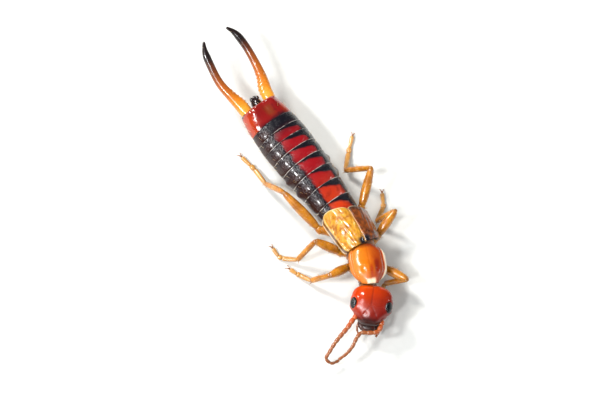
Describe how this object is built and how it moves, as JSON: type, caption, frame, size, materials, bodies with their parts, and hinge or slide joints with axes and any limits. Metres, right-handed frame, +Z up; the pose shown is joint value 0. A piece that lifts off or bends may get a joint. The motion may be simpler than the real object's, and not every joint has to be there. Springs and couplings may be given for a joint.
{
  "type": "earwig",
  "caption": "Short-winged male earwig, still life-size model standing on its feet with raised curved forceps, its head turned and feelers drawn forward.",
  "frame": {"origin": "middle of the footprint of the whole animal, on the floor it stands on", "axes": "+Z up; the abdomen lies along Y with the forceps at +Y and the head at -Y; +X is the animal's left"},
  "size_m": [0.0078, 0.0148, 0.0021],
  "materials": {
    "head": "glossy red-orange shell, darker red on the right side",
    "mouth": "dark brown lip and jaws",
    "eye": "black compound eye with a small highlight",
    "antenna": "reddish brown joints with fine down",
    "neck": "folded brown skin",
    "pronotum": "amber plate with darker marks and a pale edge",
    "thorax": "brown underbody",
    "tegmen": "golden to brown leathery wing covers, finely wrinkled",
    "abdomen": "near-black glossy rings with red patches and pale rear edges",
    "tail": "dark red last ring with orange-red sides",
    "forceps": "golden orange at the root to near black at the tip",
    "leg": "translucent amber legs"
  },
  "bodies": {
    "root": {"head": "head", "labrum": "mouth", "jaws": "mouth", "eye_left": "eye", "eye_right": "eye", "palp_left": "antenna", "palp_right": "antenna", "antenna_left": "antenna", "antenna_right": "antenna", "neck": "neck", "pronotum": "pronotum", "thorax": "thorax", "tegmen_left": "tegmen", "tegmen_right": "tegmen", "abdomen": "abdomen", "last_tergite": "tail", "pygidium": "tail", "forceps_left": "forceps", "forceps_right": "forceps", "leg_front_left": "leg", "leg_middle_left": "leg", "leg_hind_left": "leg", "leg_front_right": "leg", "leg_middle_right": "leg", "leg_hind_right": "leg"}
  },
  "joints": []
}
